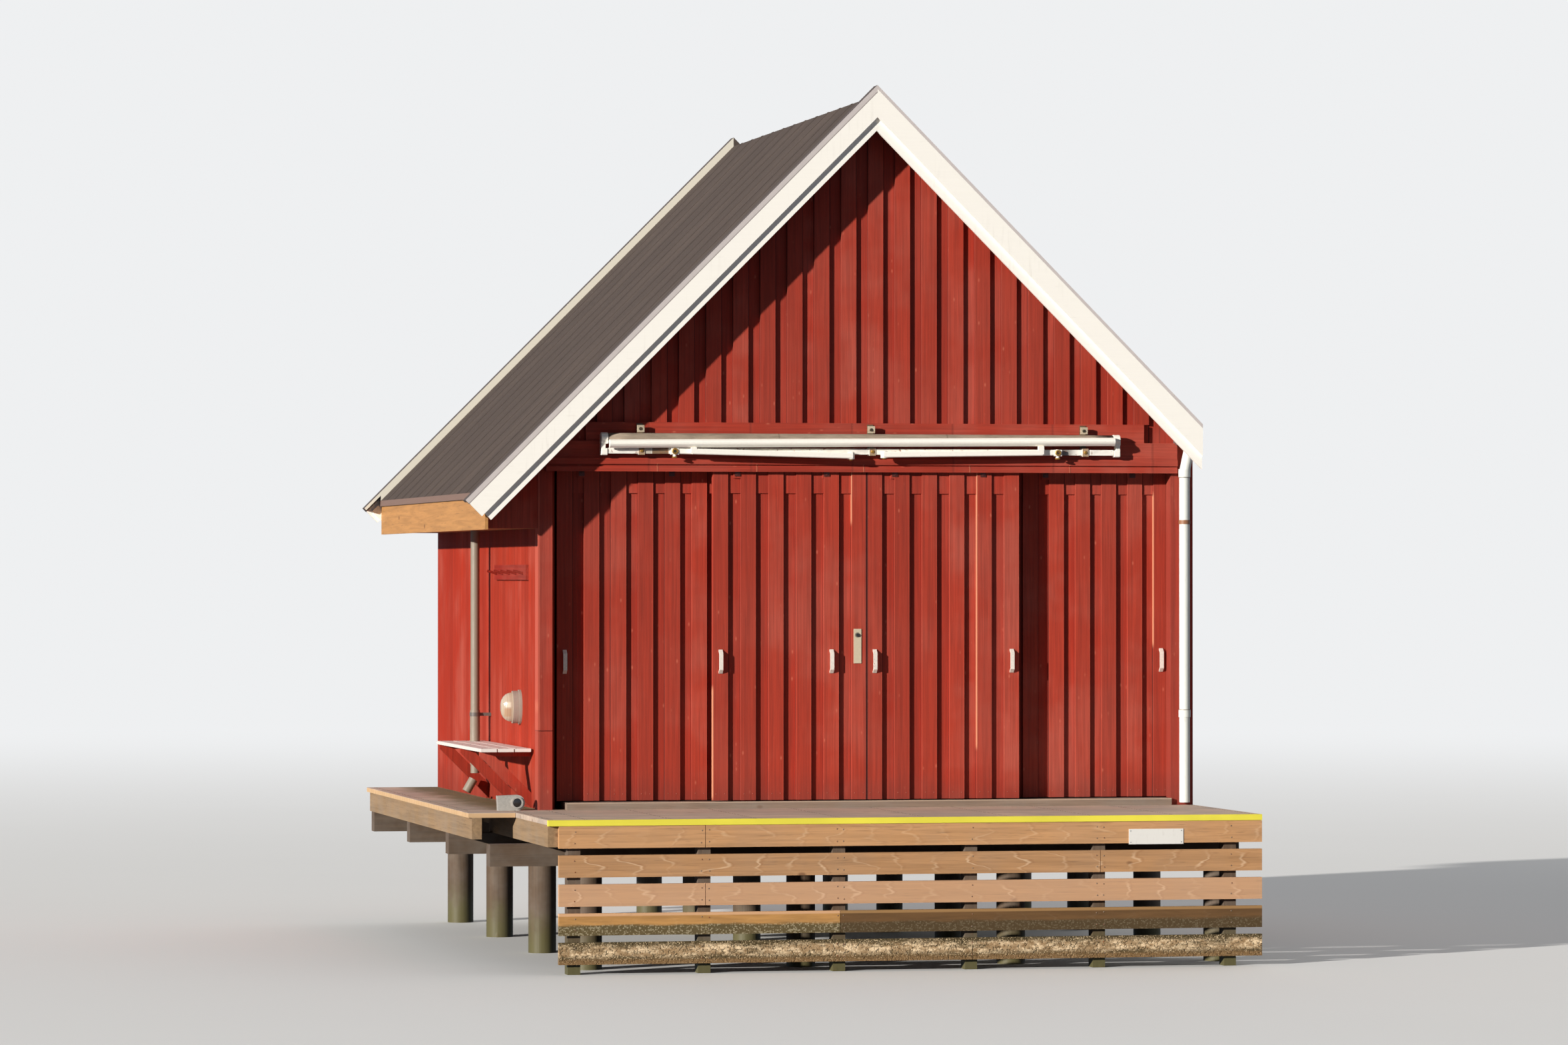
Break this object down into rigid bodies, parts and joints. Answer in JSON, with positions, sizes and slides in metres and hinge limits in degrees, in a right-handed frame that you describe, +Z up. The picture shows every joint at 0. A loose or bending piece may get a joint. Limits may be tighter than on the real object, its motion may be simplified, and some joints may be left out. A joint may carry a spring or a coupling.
{
  "type": "boathouse",
  "caption": "Gabled timber boathouse with board-and-batten walls and a front of sliding boat doors hung on wheels, standing on its own piled quay.",
  "frame": {"origin": "bottom centre of the bounding box, at the feet of the piles", "axes": "+Z up, +Y from the quay edge through the doors into the house along its ridge, +X to the right seen from the quay"},
  "size_m": [5.36, 6.715, 6.195],
  "materials": {
    "tarred_wood": "rough",
    "framing": "rough",
    "deck_wood": "weathered",
    "floor_wood": "rough",
    "fender_wood": "rough",
    "red_paint": "matte paint",
    "white_paint": "matte paint",
    "roof_felt": "matte",
    "new_wood": "planed",
    "eave_wood": "planed",
    "zinc": "satin",
    "grey_pipe": "satin",
    "white_pipe": "satin",
    "steel": "dull",
    "wheel_iron": "dull",
    "awning_metal": "satin",
    "dark_red": "matte paint",
    "lamp": "satin",
    "light_box": "matte"
  },
  "bodies": {
    "building": {"piles": "tarred_wood", "front_posts": "framing", "bearers": "framing", "joists": "framing", "apron_planks": "deck_wood", "side_planks": "deck_wood", "floor": "floor_wood", "fender_boards": "fender_wood", "threshold": "deck_wood", "wall_left": "red_paint", "wall_right": "red_paint", "wall_back": "red_paint", "wall_front": "red_paint", "corner_post_left": "red_paint", "corner_post_right": "red_paint", "corner_boards": "red_paint", "boards_front": "red_paint", "boards_back": "red_paint", "boards_left": "red_paint", "roof_left": "roof_felt", "roof_right": "roof_felt", "roof_seams": "roof_felt", "ridge_beam": "new_wood", "rafters": "new_wood", "collar_ties": "new_wood", "bargeboards_front": "white_paint", "bargeboards_back": "white_paint", "verge_caps": "roof_felt", "eave_fascia": "eave_wood", "eave_soffit": "eave_wood", "valley_gutter": "zinc", "downpipe_left": "grey_pipe", "downpipe_right": "white_pipe", "header_boards": "red_paint", "header_beams": "new_wood", "door_rails": "steel", "awning_cassette": "awning_metal", "awning_arms": "awning_metal", "awning_brackets": "steel", "bench_seat": "white_paint", "bench_brackets": "red_paint", "wall_lamp": "lamp", "hook_board": "dark_red", "deck_light": "light_box"},
    "door_front_left": {"leaf_front_left": "red_paint", "hangers_front_left": "steel"},
    "roller_front_left_a": {"wheel_front_left_a": "wheel_iron"},
    "roller_front_left_b": {"wheel_front_left_b": "wheel_iron"},
    "door_front_right": {"leaf_front_right": "red_paint", "hangers_front_right": "steel"},
    "roller_front_right_a": {"wheel_front_right_a": "wheel_iron"},
    "roller_front_right_b": {"wheel_front_right_b": "wheel_iron"},
    "door_rear_left": {"leaf_rear_left": "red_paint", "hangers_rear_left": "steel"},
    "roller_rear_left_a": {"wheel_rear_left_a": "wheel_iron"},
    "roller_rear_left_b": {"wheel_rear_left_b": "wheel_iron"},
    "door_rear_right": {"leaf_rear_right": "red_paint", "hangers_rear_right": "steel"},
    "roller_rear_right_a": {"wheel_rear_right_a": "wheel_iron"},
    "roller_rear_right_b": {"wheel_rear_right_b": "wheel_iron"}
  },
  "joints": [
    {"name": "slide_front_left", "type": "slide", "parent": "building", "child": "door_front_left", "axis": [-1, 0, 0], "range_m": [0, 1.1]},
    {"name": "roll_front_left_a", "type": "hinge", "parent": "door_front_left", "child": "roller_front_left_a", "pos_m": [-0.682, -1.5955, 3.5613], "axis": [0, 1, 0], "range_deg": [-1802, 0]},
    {"name": "roll_front_left_b", "type": "hinge", "parent": "door_front_left", "child": "roller_front_left_b", "pos_m": [-0.032, -1.5955, 3.5613], "axis": [0, 1, 0], "range_deg": [-1802, 0]},
    {"name": "slide_front_right", "type": "slide", "parent": "building", "child": "door_front_right", "axis": [1, 0, 0], "range_m": [0, 1.1]},
    {"name": "roll_front_right_a", "type": "hinge", "parent": "door_front_right", "child": "roller_front_right_a", "pos_m": [0.468, -1.5955, 3.5613], "axis": [0, 1, 0], "range_deg": [0, 1802]},
    {"name": "roll_front_right_b", "type": "hinge", "parent": "door_front_right", "child": "roller_front_right_b", "pos_m": [1.118, -1.5955, 3.5613], "axis": [0, 1, 0], "range_deg": [0, 1802]},
    {"name": "slide_rear_left", "type": "slide", "parent": "building", "child": "door_rear_left", "axis": [-1, 0, 0], "range_m": [-0.94, 0]},
    {"name": "roll_rear_left_a", "type": "hinge", "parent": "door_rear_left", "child": "roller_rear_left_a", "pos_m": [-1.785, -1.4655, 3.5613], "axis": [0, 1, 0], "range_deg": [0, 1540]},
    {"name": "roll_rear_left_b", "type": "hinge", "parent": "door_rear_left", "child": "roller_rear_left_b", "pos_m": [-1.133, -1.4655, 3.5613], "axis": [0, 1, 0], "range_deg": [0, 1540]},
    {"name": "slide_rear_right", "type": "slide", "parent": "building", "child": "door_rear_right", "axis": [1, 0, 0], "range_m": [-0.94, 0]},
    {"name": "roll_rear_right_a", "type": "hinge", "parent": "door_rear_right", "child": "roller_rear_right_a", "pos_m": [1.615, -1.4655, 3.5613], "axis": [0, 1, 0], "range_deg": [-1540, 0]},
    {"name": "roll_rear_right_b", "type": "hinge", "parent": "door_rear_right", "child": "roller_rear_right_b", "pos_m": [2.265, -1.4655, 3.5613], "axis": [0, 1, 0], "range_deg": [-1540, 0]}
  ],
  "couplings": [
    {"joint": "roll_front_left_a", "follows": "slide_front_left", "rad_per_m": -28.571},
    {"joint": "roll_front_left_b", "follows": "slide_front_left", "rad_per_m": -28.571},
    {"joint": "roll_front_right_a", "follows": "slide_front_right", "rad_per_m": 28.571},
    {"joint": "roll_front_right_b", "follows": "slide_front_right", "rad_per_m": 28.571},
    {"joint": "roll_rear_left_a", "follows": "slide_rear_left", "rad_per_m": -28.571},
    {"joint": "roll_rear_left_b", "follows": "slide_rear_left", "rad_per_m": -28.571},
    {"joint": "roll_rear_right_a", "follows": "slide_rear_right", "rad_per_m": 28.571},
    {"joint": "roll_rear_right_b", "follows": "slide_rear_right", "rad_per_m": 28.571}
  ]
}
